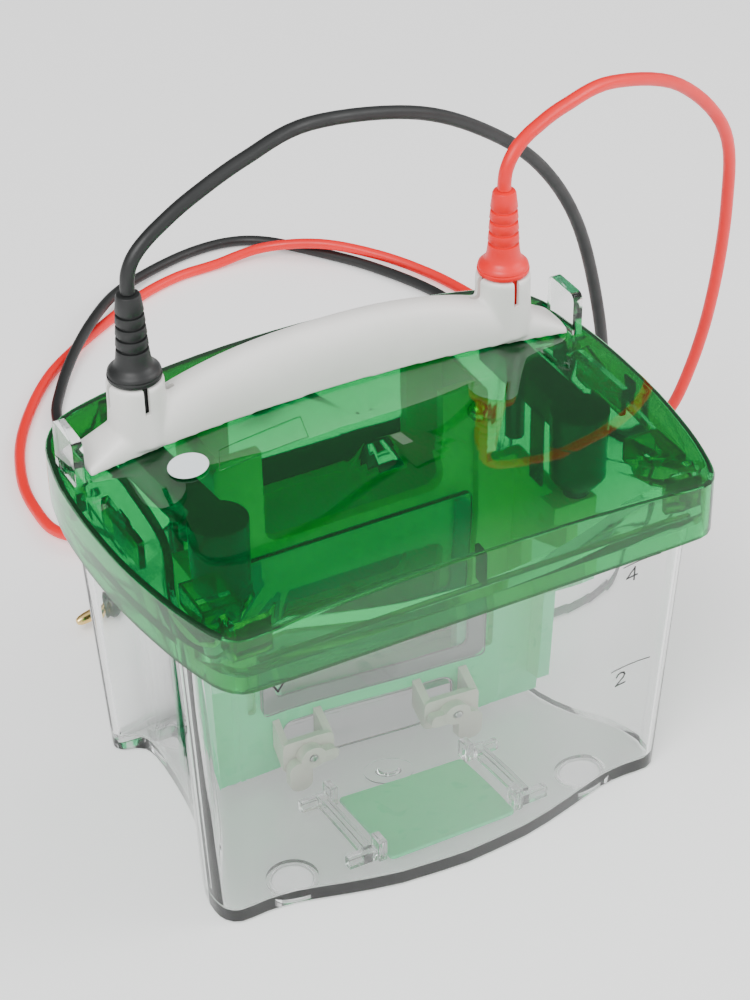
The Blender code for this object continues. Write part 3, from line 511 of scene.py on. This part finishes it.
def make_marks():
    """Printed fill lines on the tank's front, with plain numerals and an arrow."""
    four = [[(60.9, 84.6), (60.9, 89.4), (58.0, 86.2), (62.0, 86.2)]]
    two = [[(57.4, 46.6), (57.9, 47.4), (59.0, 47.8), (60.2, 47.4), (60.6, 46.4), (60.1, 45.4), (57.3, 43.0),
            (60.9, 43.0)]]
    arrow = [[(-60.6, 92.2), (-57.4, 92.2), (-59.0, 89.4), (-60.6, 92.2)]]
    marks = printed("fill_marks", [[(56.4, 91.2), (70.0, 91.2)], [(55.0, 49.8), (69.6, 49.8)],
                                   [(-68.6, 94.0), (-50.0, 94.0)]], 0.42)
    finish_piece(marks, "black_rubber", "base")
    finish_piece(printed("fill_numerals", [*four, *two, *arrow], 0.65), "black_rubber", "base")


# ---------------------------------------------------------------- leads

BLACK_ROUTE = (
    (-62.4, 31.0, 181.0), (-61.8, 31.2, 184.6), (-59.8, 31.6, 188.4), (-56.2, 32.5, 191.6),
    (-50.0, 34.1, 195.0), (-38.5, 36.8, 199.8), (-19.0, 41.3, 205.2), (5.0, 47.0, 207.9),
    (43.2, 56.0, 198.0), (72.7, 63.0, 181.7), (99.9, 71.0, 157.7), (121.5, 80.0, 124.0),
    (138.0, 90.0, 76.0), (143.5, 96.0, 44.0), (141.0, 97.5, 20.0), (130.0, 91.0, 5.5),
    (112.0, 82.0, 2.5), (88.0, 77.0, 2.5), (62.0, 77.0, 2.5), (36.0, 82.0, 2.5),
    (14.0, 93.0, 2.5), (-4.0, 110.0, 2.5), (-18.0, 134.0, 2.5), (-25.0, 164.0, 2.5),
    (-25.0, 196.0, 2.5), (-19.0, 232.0, 2.5), (-10.0, 251.0, 3.0), (3.4, 269.2, 6.0),
    (19.5, 286.4, 8.4), (37.0, 304.4, 6.2), (58.5, 319.0, 3.0), (80.7, 326.0, 2.5),
    (99.0, 326.0, 2.5), (113.0, 319.0, 2.5), (127.0, 302.0, 2.5), (144.0, 276.0, 2.5),
    (157.5, 242.0, 2.5), (159.0, 206.0, 2.5), (148.0, 172.0, 2.5), (122.0, 150.0, 2.5),
    (92.0, 139.5, 2.5), (62.0, 133.0, 2.5), (34.0, 127.0, 2.6), (12.0, 122.0, 5.6),
    (-7.0, 117.5, 7.8), (-20.0, 115.0, 7.4),
)
RED_ROUTE = (
    (62.4, 31.0, 181.0), (63.1, 31.2, 184.6), (65.3, 31.8, 188.4), (69.2, 33.0, 191.6),
    (75.8, 35.0, 194.2), (88.0, 38.9, 196.5), (109.0, 45.0, 196.8), (141.5, 55.0, 183.7),
    (167.4, 64.0, 156.5), (177.0, 73.0, 121.2), (179.6, 81.0, 80.8), (178.0, 88.5, 47.7),
    (173.5, 96.5, 22.0), (166.5, 110.0, 6.5), (164.0, 128.0, 2.5), (169.5, 152.0, 2.5),
    (173.0, 182.0, 2.5), (172.5, 212.0, 2.5), (168.2, 239.0, 2.5), (161.0, 260.0, 3.4),
    (147.2, 279.2, 6.2), (128.4, 296.4, 8.2), (107.6, 309.6, 5.4), (85.4, 311.0, 2.7),
    (67.8, 310.0, 2.5), (48.6, 303.5, 2.5), (27.0, 290.8, 2.5), (8.0, 278.2, 2.5),
    (-10.1, 263.4, 2.5), (-26.2, 243.2, 2.5), (-38.5, 222.0, 2.5), (-46.4, 199.0, 2.5),
    (-48.6, 179.8, 2.5), (-47.5, 162.0, 4.0), (-38.0, 147.5, 7.2), (-21.0, 141.0, 7.8),
    (-1.0, 142.0, 5.2), (20.0, 147.0, 3.0), (40.0, 152.5, 2.5), (62.0, 156.0, 2.5),
    (86.0, 159.5, 2.5), (109.0, 165.5, 2.5), (128.0, 176.0, 2.5), (135.5, 191.0, 2.5),
    (129.0, 205.0, 2.5), (112.0, 211.5, 2.5), (92.0, 210.0, 2.5), (75.0, 204.5, 4.9),
)


def smooth_route(points, per_span=7):
    """Points on a Catmull-Rom curve through the route, ends included."""
    padded = [points[0], *points, points[-1]]
    curve = []
    for i in range(1, len(padded) - 2):
        a, b, c, d = (Vector(p) for p in padded[i - 1:i + 3])
        for k in range(per_span):
            t = k / per_span
            curve.append(0.5 * (2 * b + (c - a) * t + (2 * a - 5 * b + 4 * c - d) * t**2
                                + (3 * b - a - 3 * c + d) * t**3))
    return [*curve, Vector(points[-1])]


def boot_profile():
    """Plug from its shroud in the socket to the top of its boot, with the boot's four grooves."""
    profile = [(4.4, 143.0), (4.4, 132.0), (6.4, 132.0), (6.5, 149.4), (6.5, 149.8), (7.8, 149.8),
               (8.2, 150.2), (8.3, 150.8), (8.25, 151.2), (7.95, 151.4), (7.95, 151.7), (8.1, 151.9),
               (7.9, 152.6), (7.2, 153.3), (6.3, 153.9), (5.7, 154.8), (5.35, 156.2), (5.1, 158.0)]
    for height in (160.2, 164.0, 167.8, 171.6):
        wide = 4.95 - (height - 160.2) * 0.055
        profile += [(wide, height - 0.7), (wide - 0.1, height - 0.45), (wide - 0.75, height - 0.3),
                    (wide - 0.8, height + 0.5), (wide - 0.1, height + 0.65), (wide, height + 0.9)]
    profile += [(4.0, 175.0), (3.75, 177.2), (3.4, 177.8), (2.6, 178.0), (0.0, 178.0)]
    return profile


def make_lead(name, x, route, slot):
    """A shrouded plug in the handle, the limp cord, and the stackable plug on the far end."""
    plug = turned(f"{name}_plug_fine", [(0.0, 143.0), *boot_profile()], (x, HANDLE_Y, 0))
    finish_piece(plug, slot, "lid", (f"{name}_plug",))

    line = smooth_route(((x, HANDLE_Y, LEAD_EXIT), *route))
    cord = tube(f"{name}_cord_fine", line, CORD_RADIUS, 5)
    finish_piece(cord, slot, "lid", (f"{name}_cord",))

    ahead = (line[-1] - line[-2]).normalized()
    start = line[-1] + ahead * 0.3
    body = ((0.0, 0.0), (3.0, 0.0), (3.2, 0.5), (3.3, 4.0), (3.3, 4.2), (2.9, 4.4), (2.9, 5.2),
            (3.4, 5.4), (3.4, 8.0), (3.0, 8.2), (3.0, 9.0), (3.6, 9.2), (3.7, 12.0), (4.3, 14.0),
            (4.6, 15.2), (4.6, 18.0), (4.4, 18.2), (4.4, 18.9), (4.6, 19.1), (4.6, 27.6), (4.3, 29.0),
            (3.8, 29.8), (0.0, 30.0))
    plug_end = turned(f"{name}_end_plug_fine", body, start, 32, ahead)
    finish_piece(plug_end, slot, "lid", (f"{name}_end_plug",))
    tip = ((0.0, 0.0), (1.9, 0.0), (1.9, 1.0), (2.1, 3.0), (2.15, 5.5), (2.0, 9.0), (1.7, 11.0),
           (1.1, 12.2), (0.0, 12.5))
    pin = turned(f"{name}_end_pin_fine", tip, line[-1] + ahead * 30.6, 24, ahead)
    finish_piece(pin, "brass", "lid", (f"{name}_end_pin",))


# ---------------------------------------------------------------- stage and build


def add_floor():
    """A wide pale floor."""
    size = 6.0
    corners = [(-size, -size, 0), (size, -size, 0), (size, size, 0), (-size, size, 0)]
    floor = add_mesh("floor", corners, [(0, 1, 2, 3)])
    made = Nodes("floor_look", (0.93, 0.93, 0.93), 0.6)
    made.shader.inputs["Emission Color"].default_value = (1.0, 1.0, 1.0, 1.0)
    made.shader.inputs["Emission Strength"].default_value = 0.35
    made.mottle(made.noise(3.0, 2.0), (0.92, 0.92, 0.92), (0.94, 0.94, 0.94))
    floor.data.materials.append(made.material)


# Nodes that the leads and the handle above stand for
DETAILED = {"handle", *(f"{lead}_{part}" for lead in ("black", "red")
                        for part in ("plug", "cord", "end_plug", "end_pin"))}
BEVELS = {"tank": 0.0005, "lid": 0.0004, "upper_wire": 0.0, "lower_wire": 0.0,
          "cam_lever_left": 0.0008, "cam_lever_right": 0.0008,
          "cam_clip_left": 0.0006, "cam_clip_right": 0.0006}
FRONT = BVHTree.FromPolygons([v.co for v in NODES["tank"].data.vertices],
                             [tuple(p.vertices) for p in NODES["tank"].data.polygons])
# Painted shade: the near-black look of the tube in the lid's edge, standing in for the wall's shade seen
# edge-on.
PAINTED_EDGE_SHADE_LOOK = plastic("painted_edge_shade_look", (0.004, 0.022, 0.012), (0.002, 0.012, 0.006), 0.12)

set_camera()
set_light()
add_floor()
make_lead("black", -SOCKET_X, BLACK_ROUTE, "black_rubber")
make_lead("red", SOCKET_X, RED_ROUTE, "red_rubber")
make_handle()
make_lid_details()
make_marks()
for node in sorted(NODES):
    if node not in DETAILED:
        refine(node, BEVELS.get(node, PLAIN_BEVEL))
